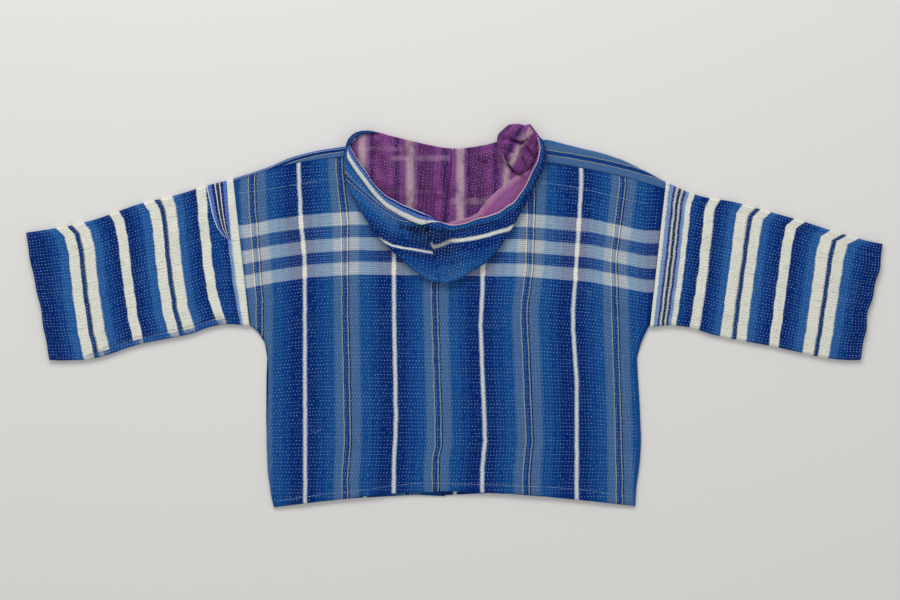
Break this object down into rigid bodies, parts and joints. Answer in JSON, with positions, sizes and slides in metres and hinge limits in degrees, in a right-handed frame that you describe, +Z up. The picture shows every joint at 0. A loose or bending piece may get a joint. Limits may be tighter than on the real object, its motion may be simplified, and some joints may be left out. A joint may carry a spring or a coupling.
{
  "type": "hooded kantha jacket",
  "caption": "Hooded, wide-sleeved quilted cotton jacket laid out flat and face down, with the fronts under the back and the hood lying open on the upper back.",
  "frame": {"origin": "on the surface under the middle of the laid jacket's box", "axes": "+X along the outstretched sleeves towards the wearer's right, +Y from the hem to the hood, +Z up away from the surface"},
  "size_m": [1.2884, 0.574, 0.023],
  "materials": {
    "body_cloth": "matt quilted cotton, indigo stripes with pale cross bands",
    "sleeve_cloth": "matt quilted cotton, blue and cream stripes",
    "hood_cloth": "matt quilted cotton, indigo stripes outside",
    "lining_cloth": "matt quilted cotton, purple check inside",
    "thread": "matt cotton thread"
  },
  "bodies": {
    "root": {"back": "body_cloth", "front_left": "body_cloth", "front_right": "body_cloth", "sleeve_left": "sleeve_cloth", "sleeve_right": "sleeve_cloth", "hood_left": "hood_cloth", "hood_right": "hood_cloth"}
  },
  "joints": []
}
